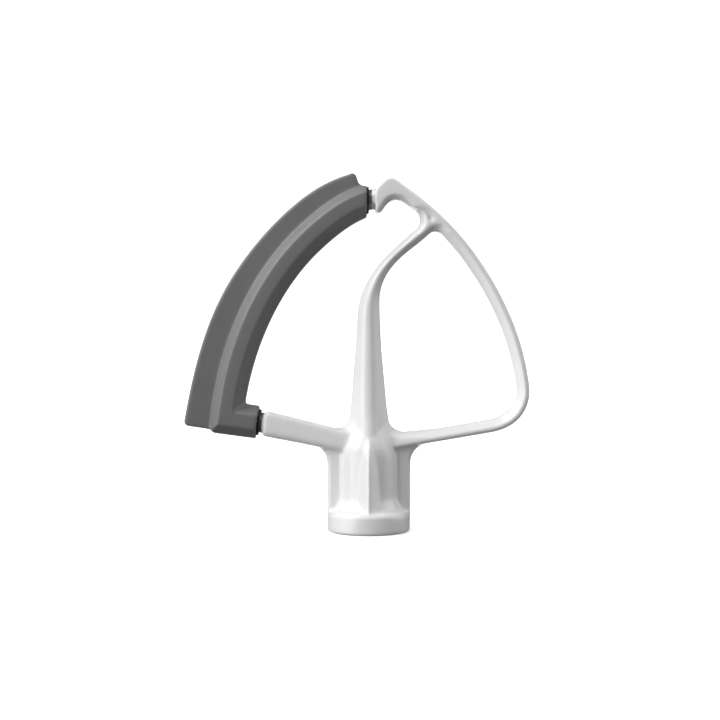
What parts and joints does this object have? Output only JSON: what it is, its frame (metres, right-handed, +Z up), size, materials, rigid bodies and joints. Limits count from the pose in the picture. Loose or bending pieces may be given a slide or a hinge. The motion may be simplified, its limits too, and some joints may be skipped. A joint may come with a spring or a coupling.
{
  "type": "stand mixer flat beater with flexible edge",
  "caption": "Flat beater for a tilt-head stand mixer: a coated cast frame with a bayonet hub and a soft scraper edge that runs along one side.",
  "frame": {"origin": "on the hub's axis, in the plane of the hub's flat end, which is the mouth of the shaft bore", "axes": "+Z up the hub axis, from the open end of the hub to the beater's tip; X lies in the plane of the beater, with the flexible edge on -X and the bare loop on +X; Y is the beater's thickness, and the picture looks along +Y"},
  "size_m": [0.1319, 0.0318, 0.1369],
  "materials": {
    "white_coated_casting": "gloss",
    "black_core": "satin",
    "grey_silicone": "satin"
  },
  "bodies": {
    "root": {"beater_frame": "white_coated_casting", "edge_core": "black_core", "flex_edge": "grey_silicone"}
  },
  "joints": []
}
